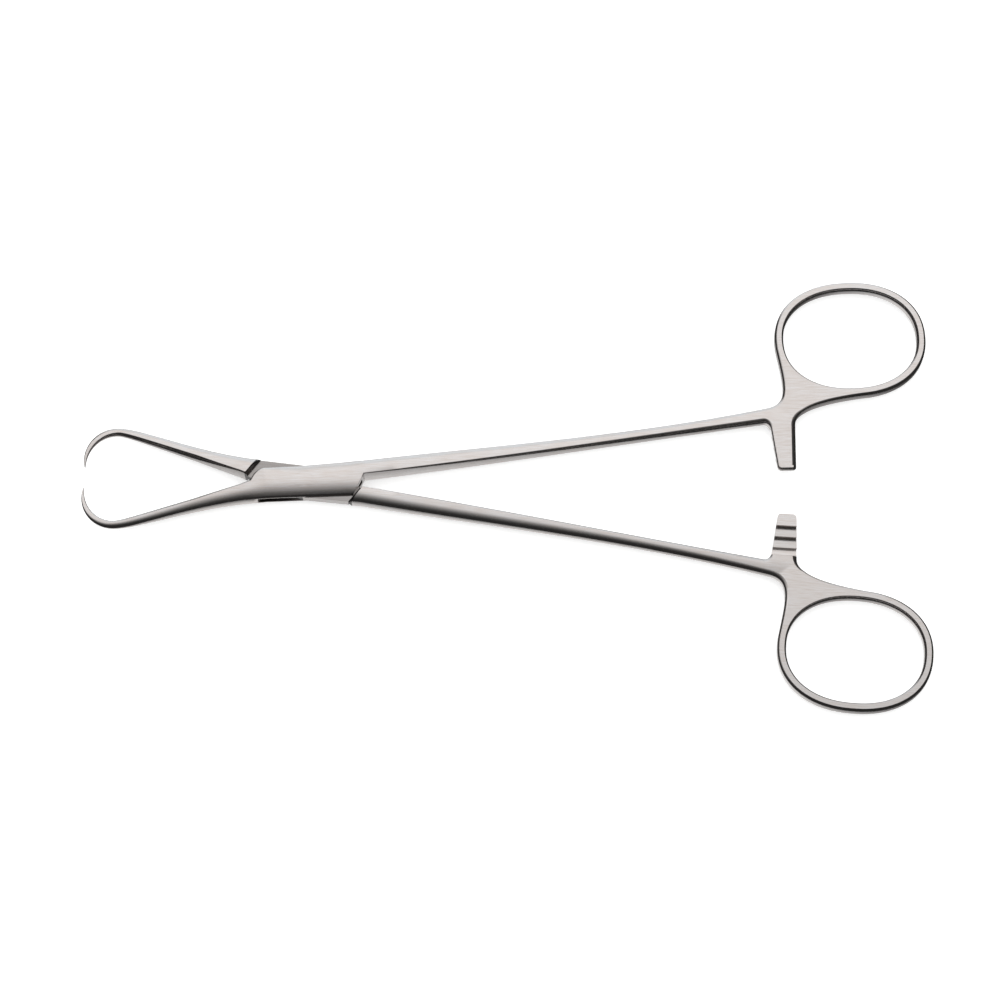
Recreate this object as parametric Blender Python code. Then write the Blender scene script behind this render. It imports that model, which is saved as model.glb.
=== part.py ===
# Tenaculum forceps with a box lock, lying flat and slightly open.
# World Z is the pivot axis, +X runs from the pivot to the finger rings, and z = 0 is the underside
# of the lock. Each half is drawn closed, with its jaw below the X axis and its ring above it, and is
# then turned open about the pivot. The tongue half is the same forging turned over, with the thin
# tongue in place of the box. All sizes are in metres.

from collections import namedtuple
from math import asin, copysign, cos, pi, radians, sin, tan

import bmesh
import bpy
from mathutils import Vector
from mathutils.geometry import delaunay_2d_cdt

# Pose: the angle between the halves, counted from the tips touching
rest_opening = radians(5.0)

# Box lock
box_thickness = 0.0048
box_low_edge = 0.0037  # pivot to the edge of the box on the jaw's side
box_top_edge = 0.0033  # pivot to the edge of the box on the shank's side
low_edge_slope = 0.018
top_edge_slope = 0.07
box_front = 0.0114  # pivot to the crotch of the jaws
box_back = 0.0123  # pivot to the end of the cheeks between the shanks
box_corner = 0.0016  # rounding of the cheek's front corner
corner_pull = 0.6  # 0.55 is an arc, and more is squarer
edge_run = 0.0015  # how far one edge rounding takes to become another
end_angle = radians(61)  # slant of the cheeks' ends and of the slot's ends
shoulder_angle = radians(56)  # slant of the tongue half's shoulders
slot_height = 0.0020
slot_front = 0.0120
slot_back = 0.0123
shoulder_front = 0.01305  # tongue half: where the full thickness starts again
shoulder_back = 0.01317
lock_reach = 0.007  # past both sides of the lock
lock_clearance = 0.00006  # on each face of the tongue
tongue_low_edge = 0.0034
tongue_top_edge = 0.0037
tongue_low_reach = 0.0045  # how far the waist of the tongue's edges runs on before it turns in
tongue_end_run = Vector((0.0040, 0.0010))  # and how it then meets the shank's inner edge

# Pivot pin, riveted into countersinks and ground flush
pin_radius = 0.0015
pin_head_radius = 0.0019
pin_head_depth = 0.0005
pin_running_clearance = 0.00005
pin_seat_clearance = 0.00002

# Jaws
jaw_reach = 0.0472  # pivot to the front of the hook
jaw_depth = 0.0095  # axis to the bottom of the bow
hook_radius = 0.0070  # outer side of the hook
hook_width = 0.0016
hook_growth = 2.4  # how soon the hook is full behind its point
hook_thickness = 0.0020
tip_width = 0.00014
tip_thickness = 0.0006
tip_gap = 0.00014  # left between the two points when the forceps is closed
jaw_root = 0.0125  # pivot to where the jaw leaves the box
jaw_root_depth = 0.00415  # axis to the jaw's outer edge there
jaw_back_slope = 0.11
jaw_back_pulls = (0.18, 0.47)  # of the jaw's length, at the bow and at the root
jaw_waist = Vector((-0.0142, -0.00102))  # the inner edge, just clear of the crotch
jaw_inner_slope = 0.25
jaw_inner_pulls = (0.5, 0.085)  # of the jaw's length, at the waist and at the bow
crotch_pull = 0.4

# Shanks
shank_root_width = 0.00325
handle_thickness = 0.0031  # shank end, ratchet and ring
shank_taper = 2.2  # above 1 the shank thins early and then runs on at one thickness
shank_slope = 0.105
shank_end_slope = 0.19
shank_inner_start = 0.0127  # pivot to where the inner edge leaves the box
shank_inner_slope = 0.097
shank_inner_end_slope = 0.12

# Finger rings
ring_reach = 0.11745  # pivot to the ring's centre, along the axis
ring_offset = 0.02994  # axis to the ring's centre
ring_inner_length = 0.02875
ring_inner_width = 0.02265
ring_wire = 0.00187
ring_squareness = 2.2  # 2 is an ellipse
ring_tilt = radians(1.0)

# Web between shank, ring and ratchet bar
web_outer_join = Vector((-0.0015, 0.0144))  # bar's left side to where the shank's outer edge ends
web_inner_join = Vector((-0.0010, -0.0033))  # from there to where its inner edge ends
inner_fillet_drop = 0.0017
inner_fillet_lead = 0.0008
inner_fillet_rise = 0.0010
outer_fillet_start = 0.0106  # axis to where the far side of the bar starts to curve out
outer_fillet_rise = 0.0032
outer_fillet_lead = 0.0100
outer_fillet_slope = 0.12
top_fillet_pull = 0.57
top_fillet_lead = 0.0050
ring_join_top = radians(188)  # where the two outer fillets run into the ring
ring_join_low = radians(275)

# Ratchets
ratchet_inset = 0.00113  # the ring's near side to the middle of the bar
ratchet_width = 0.0040  # at its end
bar_lean = radians(6.5)  # of the side that faces the lock
bar_flare = 0.0003  # gained on the far side, from the end to the fillet
ratchet_end_gap = 0.0005  # left between the two bars when the tips touch
ratchet_corner = 0.0008
tooth_pitch = 0.0025
tooth_height = 0.0008
tooth_lead = 0.0029  # bar's end to its first steep face
tooth_count = 3
ratchet_heel = 0.0012  # last steep face to where the bar starts to thicken again
heel_run = 0.45  # length of that rise against its height

# Edge roundings, as far in from the side and as far down from the face
crisp = 0.00028
box_crown = 0.0020
box_crown_depth = 0.0009
corner_rounding = 0.0004
web_rounding = 0.0005
bar_rounding = 0.0007  # the bar's far side
bar_rounding_depth = 0.0012
ring_rounding = 0.0006
ring_rounding_depth = 0.0010
jaw_back_width = 0.0017
jaw_back_depth = 0.0015
shank_back_width = 0.0016
shank_back_depth = 0.0014
shank_end_back = 0.0009  # the shank's back near the ring, both ways
tip_rounding = (0.3, 0.3)  # shares of the width and the thickness there
bow_back_rounding = (0.5, 0.4)
bow_inner_rounding = (0.25, 0.3)

rounding_steps = 4
pin_sides = 48
boolean_margin = 0.002
mitre_limit = 1.6

middle = box_thickness / 2
tongue_thickness = slot_height - 2 * lock_clearance
ring_centre = Vector((ring_reach, ring_offset))
ring_half_length = ring_inner_length / 2
ring_half_width = ring_inner_width / 2
ring_near = ring_reach - ring_half_length - ring_wire
bar_middle = ring_near + ratchet_inset
bar_left = bar_middle - ratchet_width / 2
bar_right = bar_middle + ratchet_width / 2
bar_end = ratchet_end_gap / 2
hook_centre = Vector((hook_radius - jaw_reach, hook_radius - jaw_depth))
shank_outer_end = Vector((bar_left, 0)) + web_outer_join
shank_inner_end = shank_outer_end + web_inner_join
bar_shoulder = Vector((bar_right + bar_flare, outer_fillet_start))

# One station of an outline: its place, the forging's thickness there, and its edge rounding
Station = namedtuple("Station", "x y thickness inset drop")
Edge = namedtuple("Edge", "thickness inset drop")



def rounded(thickness, width, shares):
    return Edge(thickness, shares[0] * width, shares[1] * thickness)


tip_edge = rounded(tip_thickness, tip_width, tip_rounding)
bow_back = rounded(hook_thickness, hook_width, bow_back_rounding)
bow_inside = rounded(hook_thickness, hook_width, bow_inner_rounding)
jaw_back = Edge(box_thickness, jaw_back_width, jaw_back_depth)
box_edge = Edge(box_thickness, box_crown, box_crown_depth)
box_corner_edge = Edge(box_thickness, corner_rounding, corner_rounding)
box_inside = Edge(box_thickness, crisp, crisp)
shank_back_root = Edge(box_thickness, shank_back_width, shank_back_depth)
shank_back_end = Edge(handle_thickness, shank_end_back, shank_end_back)
shank_inside = Edge(handle_thickness, crisp, crisp)
web_edge = Edge(handle_thickness, web_rounding, web_rounding)
bar_outside = Edge(handle_thickness, bar_rounding, bar_rounding_depth)
ring_edge = Edge(handle_thickness, ring_rounding, ring_rounding_depth)


def evenly(start, end, count):
    # The ends of count equal steps, as plain numbers
    return [start + (end - start) * step / count for step in range(count + 1)]


def bezier(start, start_handle, end, end_handle, count):
    # Leaves start along start_handle and arrives at end along end_handle
    first, last = Vector(start), Vector(end)
    second, third = first + Vector(start_handle), last - Vector(end_handle)
    points = []
    for t in evenly(0, 1, count):
        s = 1 - t
        points.append(s**3 * first + 3 * s * s * t * second + 3 * s * t * t * third + t**3 * last)
    return points


def arc(centre, radius, start, end, count):
    return [
        Vector(centre) + radius * Vector((cos(a), sin(a))) for a in evenly(start, end, count)
    ]


def superellipse(half_length, half_width, angle):
    # A point of the ring's outline, which is a little squarer than an ellipse
    power = 2 / ring_squareness
    x = half_length * copysign(abs(cos(angle)) ** power, cos(angle))
    y = half_width * copysign(abs(sin(angle)) ** power, sin(angle))
    turned = (x * cos(ring_tilt) - y * sin(ring_tilt), x * sin(ring_tilt) + y * cos(ring_tilt))
    return ring_centre + Vector(turned)


def ring_outer(angle):
    return superellipse(ring_half_length + ring_wire, ring_half_width + ring_wire, angle)


def ring_direction(angle):
    step = radians(0.5)
    return (ring_outer(angle + step) - ring_outer(angle - step)).normalized()


def stations(points, first, last, taper=1.0):
    # Spreads the edge from first to last along the points, by length
    lengths = [0.0]
    for before, after in zip(points, points[1:]):
        lengths.append(lengths[-1] + (after - before).length)
    run = []
    for point, length in zip(points, lengths):
        share = length / lengths[-1]
        eased = 1 - (1 - share) ** taper
        thickness = first.thickness + (last.thickness - first.thickness) * eased
        inset = first.inset + (last.inset - first.inset) * share
        drop = first.drop + (last.drop - first.drop) * share
        run.append(Station(point.x, point.y, thickness, inset, drop))
    return run


def join(*runs):
    # The last station of each run is the first of the next
    return [station for run in runs for station in run[:-1]]


def low_edge(x):
    return Vector((x, low_edge_slope * x - box_low_edge))


def top_edge(x):
    return Vector((x, top_edge_slope * x + box_top_edge))


def slant(x, y):
    # A point at height y on the slanting end that crosses the axis at x
    return Vector((x + y / tan(end_angle), y))


def meet(edge, end):
    # Where a slanting end that crosses the axis at x = end meets one edge of the box
    x = end
    for _ in range(20):
        x = slant(end, edge(x).y).x
    return edge(x)


def tip_angle():
    return pi - asin((-tip_gap / 2 - hook_centre.y) / hook_radius)


def hook_outside():
    points = arc(hook_centre, hook_radius, tip_angle(), 1.5 * pi, 16)
    return stations(points, tip_edge, bow_back)


def hook_inside():
    points = []
    start = tip_angle()
    for angle in evenly(1.5 * pi, start, 16):
        share = (angle - start) / (1.5 * pi - start)
        width = tip_width + (hook_width - tip_width) * (1 - (1 - share) ** hook_growth)
        points.append(hook_centre + (hook_radius - width) * Vector((cos(angle), sin(angle))))
    return stations(points, bow_inside, tip_edge)


def jaw_outside():
    bottom = hook_centre + Vector((0, -hook_radius))
    root = Vector((-jaw_root, -jaw_root_depth))
    span = root.x - bottom.x
    at_bow, at_root = (pull * span for pull in jaw_back_pulls)
    points = bezier(bottom, (at_bow, 0), root, at_root * Vector((1, jaw_back_slope)), 12)
    return stations(points, bow_back, jaw_back)


def jaw_inside():
    bottom = hook_centre + Vector((0, hook_width - hook_radius))
    span = bottom.x - jaw_waist.x
    at_waist, at_bow = (pull * span for pull in jaw_inner_pulls)
    points = bezier(jaw_waist, at_waist * Vector((1, jaw_inner_slope)), bottom, (at_bow, 0), 14)
    crotch = Vector((-box_front, 0))
    bend = (jaw_waist.x - crotch.x) / 3 * Vector((1, jaw_inner_slope))
    turn = bezier(crotch, crotch_pull * (jaw_waist - crotch), jaw_waist, bend, 3)
    return stations(turn[:-1] + points, box_inside, bow_inside)


def shank_outside():
    start = top_edge(box_back)
    reach = (shank_outer_end.x - start.x) / 3
    leaving, arriving = reach * Vector((1, shank_slope)), reach * Vector((1, shank_end_slope))
    points = bezier(start, leaving, shank_outer_end, arriving, 18)
    return stations(points, shank_back_root, shank_back_end, shank_taper)[::-1]


def shank_inside_start():
    return Vector((shank_inner_start, top_edge(box_back).y - shank_root_width))


def shank_inside_edge():
    start = shank_inside_start()
    reach = (shank_inner_end.x - start.x) / 3
    leaving = reach * Vector((1, shank_inner_slope))
    arriving = reach * Vector((1, shank_inner_end_slope))
    points = bezier(start, leaving, shank_inner_end, arriving, 18)
    return stations(points, box_inside, shank_inside, shank_taper)


def ratchet_bar():
    # The side that faces the lock leans towards it, from the bar's end up to the fillet
    height = bar_end + ratchet_corner
    left = arc((bar_left + ratchet_corner, height), ratchet_corner, pi + bar_lean, 1.5 * pi, 4)
    right = arc((bar_right - ratchet_corner, height), ratchet_corner, -pi / 2, 0, 4)
    side_end = shank_inner_end.y - inner_fillet_drop
    end = Vector((left[0].x - (side_end - left[0].y) * tan(bar_lean), side_end))
    leaving = inner_fillet_lead * Vector((1, shank_inner_end_slope))
    arriving = inner_fillet_rise * Vector((sin(bar_lean), -cos(bar_lean)))
    fillet = bezier(shank_inner_end, leaving, end, arriving, 7)
    return (
        stations(fillet, shank_inside, shank_inside)
        + stations(left, shank_inside, shank_inside)
        + stations(right, bar_outside, bar_outside)
        + stations([right[-1], bar_shoulder], bar_outside, web_edge)[1:]
    )


def outer_fillet():
    end = ring_outer(ring_join_low)
    arriving = outer_fillet_lead * Vector((1, outer_fillet_slope))
    return stations(bezier(bar_shoulder, (0, outer_fillet_rise), end, arriving, 10), web_edge, ring_edge)


def ring_outside():
    points = [ring_outer(a) for a in evenly(ring_join_low, ring_join_top + 2 * pi, 52)]
    return stations(points, ring_edge, ring_edge)


def top_fillet():
    start = ring_outer(ring_join_top)
    leaving = top_fillet_pull * (start.y - shank_outer_end.y) * ring_direction(ring_join_top)
    arriving = -top_fillet_lead * Vector((1, shank_end_slope))
    return stations(bezier(start, leaving, shank_outer_end, arriving, 12), ring_edge, shank_back_end)


def ring_hole():
    points = [
        superellipse(ring_half_length, ring_half_width, a) for a in evenly(2 * pi, 0, 48)
    ]
    return stations(points, ring_edge, ring_edge)[:-1]


def handle_runs():
    shank = [shank_inside_edge(), ratchet_bar(), outer_fillet()]
    return [*shank, ring_outside(), top_fillet(), shank_outside()]


def box_outline():
    tip = meet(top_edge, -box_front)
    before = top_edge(tip.x + box_corner)
    after = slant(-box_front, tip.y - box_corner)
    nose = bezier(before, corner_pull * (tip - before), after, corner_pull * (after - tip), 4)
    low = [Vector((-jaw_root, -jaw_root_depth)), low_edge(-box_front)]
    corner = meet(low_edge, box_back)
    back = [low[-1], low_edge(corner.x - edge_run), corner, shank_inside_start()]
    front = [after, Vector((-box_front, 0))]
    top = [top_edge(x) for x in (box_back, box_back - edge_run, before.x + edge_run)] + [before]
    return join(
        hook_outside(),
        jaw_outside(),
        stations(low, jaw_back, box_edge),
        stations(back[:2], box_edge, box_edge),
        stations(back[1:3], box_edge, box_corner_edge),
        stations(back[2:], box_corner_edge, box_inside),
        *handle_runs(),
        stations(top[:2], shank_back_root, box_edge),
        stations(top[1:3], box_edge, box_edge),
        stations(top[2:], box_edge, box_corner_edge),
        stations(nose, box_corner_edge, box_corner_edge),
        stations(front, box_corner_edge, box_inside),
        jaw_inside(),
        hook_inside(),
    )


def tongue_outline():
    waist = Vector((tongue_low_reach, 0))
    low = [Vector((-jaw_root, -jaw_root_depth)), Vector((0, -tongue_low_edge))]
    back = bezier(low[-1], waist, shank_inside_start(), tongue_end_run, 8)
    top = [top_edge(box_back), Vector((0, tongue_top_edge))]
    front = bezier(top[-1], -waist, (-box_front, 0), -tongue_end_run, 8)
    return join(
        hook_outside(),
        jaw_outside(),
        stations(low, jaw_back, box_edge),
        stations(back, box_edge, box_inside),
        *handle_runs(),
        stations(top, shank_back_root, box_edge),
        stations(front, box_edge, box_inside),
        jaw_inside(),
        hook_inside(),
    )


def inward(loop, index):
    # The mitred direction from this station into the metal, which is on the left of the loop
    before, here, after = loop[index - 1], loop[index], loop[(index + 1) % len(loop)]
    arriving = Vector((here.x - before.x, here.y - before.y)).normalized()
    leaving = Vector((after.x - here.x, after.y - here.y)).normalized()
    first, second = Vector((-arriving.y, arriving.x)), Vector((-leaving.y, leaving.x))
    mitre = (first + second) / (1 + first.dot(second))
    return mitre * min(1, mitre_limit / mitre.length)


def levels(loop):
    # Loops of points from the face edge down its rounding to the side wall
    rings = []
    for step in range(rounding_steps + 1):
        angle = step * pi / 2 / rounding_steps
        ring = []
        for index, station in enumerate(loop):
            place = Vector((station.x, station.y))
            place += inward(loop, index) * station.inset * (1 - sin(angle))
            height = station.thickness / 2 - station.drop * (1 - cos(angle))
            ring.append((place.x, place.y, height))
        rings.append(ring)
    return rings


def caps(loops):
    # Triangles that fill the flat face inside the first loop and outside the others
    scale = 1000
    points = [Vector(p[:2]) * scale for loop in loops for p in loop]
    faces = []
    start = 0
    for loop in loops:
        faces.append(list(range(start, start + len(loop))))
        start += len(loop)
    _, _, triangles, sources, _, _ = delaunay_2d_cdt(points, [], faces, 2, 1e-6)
    return [[sources[corner][0] for corner in triangle] for triangle in triangles]


def new_object(name, mesh, material=None):
    made = bpy.data.objects.new(name, mesh)
    bpy.context.scene.collection.objects.link(made)
    if material:
        mesh.materials.append(material)
        mesh.shade_smooth()
        mesh.set_sharp_from_angle(angle=radians(35))
    return made


def finished(bm, name):
    bmesh.ops.recalc_face_normals(bm, faces=bm.faces)
    mesh = bpy.data.meshes.new(name)
    bm.to_mesh(mesh)
    bm.free()
    return mesh


def forging(name, outline, side, material):
    # Side is 1 for the half drawn as it is and -1 for the half turned over
    bm = bmesh.new()
    rims = []
    for loop in (outline, ring_hole()):
        rings = levels(loop)
        upper = [[bm.verts.new((x, side * y, middle + z)) for x, y, z in ring] for ring in rings]
        lower = [[bm.verts.new((x, side * y, middle - z)) for x, y, z in ring] for ring in rings]
        wall = upper + lower[::-1]
        for above, below in zip(wall, wall[1:]):
            for i in range(len(loop)):
                j = (i + 1) % len(loop)
                bm.faces.new((above[i], above[j], below[j], below[i]))
        rims.append((rings[0], upper[0], lower[0]))
    upper_rim = [vertex for rim in rims for vertex in rim[1]]
    lower_rim = [vertex for rim in rims for vertex in rim[2]]
    for triangle in caps([rim[0] for rim in rims]):
        bm.faces.new([upper_rim[corner] for corner in triangle])
        bm.faces.new([lower_rim[corner] for corner in reversed(triangle)])
    return new_object(name, finished(bm, name), material)


def prism(name, points, low, high):
    # Points go round in the XY plane
    bm = bmesh.new()
    bottom = [bm.verts.new((x, y, low)) for x, y in points]
    top = [bm.verts.new((x, y, high)) for x, y in points]
    bm.faces.new(bottom[::-1])
    bm.faces.new(top)
    for i in range(len(points)):
        j = (i + 1) % len(points)
        bm.faces.new((bottom[i], bottom[j], top[j], top[i]))
    return new_object(name, finished(bm, name))


def turned(name, profile, material=None):
    # Profile lists radius and height from bottom to top, about the pivot axis
    bm = bmesh.new()
    rings = []
    for radius, height in profile:
        rings.append(
            [
                bm.verts.new((radius * cos(a), radius * sin(a), height))
                for a in evenly(0, 2 * pi, pin_sides)[:-1]
            ]
        )
    bm.faces.new(rings[0][::-1])
    bm.faces.new(rings[-1])
    for below, above in zip(rings, rings[1:]):
        for i in range(pin_sides):
            j = (i + 1) % pin_sides
            bm.faces.new((below[i], below[j], above[j], above[i]))
    return new_object(name, finished(bm, name), material)


def pin_profile(clearance, overrun):
    # The pin's own shape, or the hole for it with a clearance all round and ends that run past
    shaft, head = pin_radius + clearance, pin_head_radius + clearance
    deep, far = pin_head_depth, box_thickness - pin_head_depth
    profile = [(head, 0), (shaft, deep), (shaft, far), (head, box_thickness)]
    if overrun:
        profile = [(head, -overrun), *profile, (head, box_thickness + overrun)]
    return profile


def lock_region(front, back, angle, side):
    # The hexagon between two slanting ends, open past both sides of the lock
    run = lock_reach / tan(angle)
    points = [(-front, lock_reach), (-front, 0), (run - front, -lock_reach)]
    points += [(back, -lock_reach), (back, 0), (back - run, lock_reach)]
    return [(x, side * y) for x, y in points][::side]


def tooth_profile():
    # Along the bar from its end, as distance from the end and height over the middle plane
    crest, valley = tooth_height / 2, -tooth_height / 2
    slope = tooth_height / tooth_lead
    points = [(-boolean_margin, valley - slope * boolean_margin)]
    for tooth in range(tooth_count):
        steep = tooth_lead + tooth * tooth_pitch
        points += [(steep, crest), (steep, valley)]
    heel = points[-1][0] + ratchet_heel
    points.append((heel, valley))
    rise = handle_thickness / 2 - valley
    for angle in evenly(0, pi / 2, 4)[1:]:
        points.append((heel + rise * heel_run * sin(angle), valley + rise * (1 - cos(angle))))
    full = handle_thickness / 2 + boolean_margin
    return points + [(points[-1][0], full), (-boolean_margin, full)]


def ratchet_cutter(name, side, facing):
    # Facing is 1 for teeth on the upper side of the bar and -1 for teeth on its underside
    bm = bmesh.new()
    low, high = bar_left - boolean_margin, bar_right + boolean_margin
    profile = [(side * (bar_end + y), middle + facing * z) for y, z in tooth_profile()]
    left = [bm.verts.new((low, y, z)) for y, z in profile]
    right = [bm.verts.new((high, y, z)) for y, z in profile]
    bm.faces.new(left)
    bm.faces.new(right[::-1])
    for i in range(len(profile)):
        j = (i + 1) % len(profile)
        bm.faces.new((left[i], left[j], right[j], right[i]))
    return new_object(name, finished(bm, name))


def cut(piece, cutter):
    # The cutter moves with the piece and stays out of sight
    cutter.parent = piece
    cutter.hide_render = True
    cutter.display_type = "WIRE"
    boolean = piece.modifiers.new(cutter.name, "BOOLEAN")
    boolean.operation = "DIFFERENCE"
    boolean.solver = "EXACT"
    boolean.object = cutter


def steel(name, colour, roughness):
    material = bpy.data.materials.new(name)
    material.use_nodes = True
    shader = material.node_tree.nodes["Principled BSDF"]
    shader.inputs["Base Color"].default_value = (*colour, 1)
    shader.inputs["Metallic"].default_value = 1
    shader.inputs["Roughness"].default_value = roughness
    return material


def make_box_half():
    half = forging("box_half", box_outline(), 1, steel("satin_steel_box", (0.62, 0.61, 0.59), 0.34))
    low, high = middle - slot_height / 2, middle + slot_height / 2
    cut(half, prism("slot_cutter", lock_region(slot_front, slot_back, end_angle, 1), low, high))
    cut(half, turned("rivet_hole_cutter", pin_profile(pin_seat_clearance, boolean_margin)))
    cut(half, ratchet_cutter("upper_ratchet_cutter", 1, -1))
    half.rotation_euler.z = rest_opening / 2
    return half


def make_tongue_half():
    half = forging(
        "tongue_half", tongue_outline(), -1, steel("satin_steel_tongue", (0.60, 0.59, 0.57), 0.34)
    )
    pocket = lock_region(shoulder_front, shoulder_back, shoulder_angle, -1)
    high, low = middle + tongue_thickness / 2, middle - tongue_thickness / 2
    cut(half, prism("upper_pocket_cutter", pocket, high, box_thickness + boolean_margin))
    cut(half, prism("lower_pocket_cutter", pocket, -boolean_margin, low))
    bore = pin_radius + pin_running_clearance
    cut(half, turned("pin_bore_cutter", [(bore, -boolean_margin), (bore, box_thickness + boolean_margin)]))
    cut(half, ratchet_cutter("lower_ratchet_cutter", -1, 1))
    half.rotation_euler.z = -rest_opening / 2
    return half


def make_pivot_pin(carrier):
    pin = turned("pivot_pin", pin_profile(0, 0), steel("ground_steel_pin", (0.64, 0.63, 0.61), 0.30))
    pin.parent = carrier
    return pin


for leftover in list(bpy.data.objects):
    bpy.data.objects.remove(leftover, do_unlink=True)

box_half = make_box_half()
make_tongue_half()
make_pivot_pin(box_half)
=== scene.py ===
from collections import namedtuple
from math import asin, atan2, copysign, cos, pi, radians, sin, tan

import bmesh
import bpy
from mathutils import Matrix, Vector
from mathutils.geometry import delaunay_2d_cdt


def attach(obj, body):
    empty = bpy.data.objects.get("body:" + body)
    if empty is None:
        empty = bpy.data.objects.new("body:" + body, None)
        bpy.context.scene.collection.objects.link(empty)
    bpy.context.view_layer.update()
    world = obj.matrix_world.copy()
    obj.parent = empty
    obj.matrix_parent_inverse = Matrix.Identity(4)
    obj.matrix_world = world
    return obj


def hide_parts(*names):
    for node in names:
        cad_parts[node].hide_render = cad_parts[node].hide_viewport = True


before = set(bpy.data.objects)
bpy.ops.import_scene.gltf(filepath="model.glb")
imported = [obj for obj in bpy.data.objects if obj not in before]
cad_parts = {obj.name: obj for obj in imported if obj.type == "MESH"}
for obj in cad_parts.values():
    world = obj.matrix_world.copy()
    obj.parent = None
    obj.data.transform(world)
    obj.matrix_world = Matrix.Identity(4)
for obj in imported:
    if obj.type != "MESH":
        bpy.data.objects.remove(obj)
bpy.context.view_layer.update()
print("frame loaded:", sorted(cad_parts))

mm = 0.001
opening = 5.0  # degrees between the halves, from the points touching

# An edge is its inset, its drop and the angle in degrees at which its rounding starts
lock = {
    "thickness": 4.8,
    "lowEdge": 3.7,  # pivot to the box's edge on the jaw's side
    "topEdge": 3.3,  # pivot to the box's edge on the shank's side
    "lowSlope": 0.018,
    "topSlope": 0.07,
    "front": 11.4,  # pivot to the crotch of the jaws
    "back": 12.3,  # pivot to the end of the cheeks between the shanks
    "corner": 1.6,  # rounding of the cheek's front corner
    "cornerPull": 0.6,  # 0.55 is an arc, and more is squarer
    "endAngle": 61,  # slant of the cheeks' ends and of the slot's ends
    "shoulderAngle": 56,  # slant of the tongue half's shoulders
    "slotHeight": 2.0,
    "slotFront": 12.0,
    "slotBack": 12.3,
    "shoulderFront": 13.05,  # tongue half: where the full thickness starts again
    "shoulderBack": 13.17,
    "clearance": 0.06,  # on each face of the tongue
    "tongueLow": 3.4,  # pivot to the tongue's edges
    "tongueTop": 3.7,
    "tongueRun": 4.5,  # how far the low edge runs on before it turns in
    "crestRun": 2.4,  # and the top edge
    "tongueTurn": (4.0, 1.0),  # how both then meet the inner edges
    "pocketReach": 7.0,  # of the cutters, past both sides of the lock
    "shoulderRuns": (0.8, 0.3),  # how far the shoulders slope, at the front and the back
    "shoulderBevels": (0.55, 0.2),
    "relief": (12.4, 12.86, 0.35),  # groove at the foot of the back shoulder: its sides and depth
    "reliefFloor": 0.06,  # its width at the bottom
    "cheekEdge": (0.34, 0.36, 30),
    "fineEdge": (0.16, 0.16, 0),  # of the tongue, and where a shank leaves the lock
    "crown": (3.2, 1.2, 0),  # the cheeks are rounded off along both sides
    "crownLow": -8.0,  # from where the low side has its whole crown
    "crownTop": (8.0, -1.0),  # and between which places the top side has it
}
pin = {
    "shaft": 1.5,  # radius
    "head": 1.8,
    "headDepth": 0.5,
    "seatGap": 0.006,  # the fine ring that shows round a ground rivet
    "runningGap": 0.05,
    "sides": 96,
}
jaw = {
    "reach": 47.19,
    "depth": 9.5,
    "hookRadius": 7.0,  # outer side of the hook
    "hookWidth": 1.6,
    "hookGrowth": 2.4,  # how soon the hook is full behind its point
    "hookThickness": 2.0,
    "tipWidth": 0.14,
    "tipThickness": 0.6,
    "tipGap": 0.14,  # left between the two points when the forceps is closed
    "root": 12.5,  # pivot to where the jaw leaves the lock
    "rootDepth": 4.15,
    "backSlope": 0.11,
    "backPulls": (0.18, 0.47),  # of the jaw's length, at the bow and at the root
    "waist": (-14.2, -1.02),  # the inner edge, just clear of the crotch
    "innerSlope": 0.25,
    "innerPulls": (0.5, 0.085),  # of the jaw's length, at the waist and at the bow
    "crotchPull": 0.4,
    "rootEase": 4.0,  # over this length the lock's flat face turns into the jaw's taper
    "back": (2.2, 1.15, 0),
    "middleBack": (1.25, 0.8, 0),
    "rootInner": (0.62, 1.35, 25),
    "inner": (0.56, 1.1, 20),
    "bowBack": (0.55, 0.46, 0),  # these three are shares of the hook's width and thickness
    "bowInner": (0.3, 0.4, 20),
    "tip": (0.4, 0.4, 0),
}
shank = {
    "rootWidth": 3.25,
    "endThickness": 3.1,
    "taper": 2.2,  # above 1 the shank thins early and then runs on at one thickness
    "slope": 0.105,
    "endSlope": 0.19,
    "innerStart": 12.7,  # pivot to where the inner edge leaves the lock
    "innerSlope": 0.097,
    "innerEndSlope": 0.12,
    "rootBack": (2.0, 1.25, 0),
    "endBack": (0.85, 0.95, 7),
    "rootInner": (0.28, 0.4, 15),
    "inner": (0.75, 1.1, 15),
}
ring = {
    "reach": 117.45,  # pivot to the ring's centre, along the axis
    "offset": 29.94,  # and across it
    "innerLength": 28.75,
    "innerWidth": 22.65,
    "wire": 1.85,
    "squareness": 2.2,  # 2 is an ellipse
    "tilt": 1.0,
    "outer": (0.46, 0.8, 25),
    "inner": (0.42, 1.0, 35),
}
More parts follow.
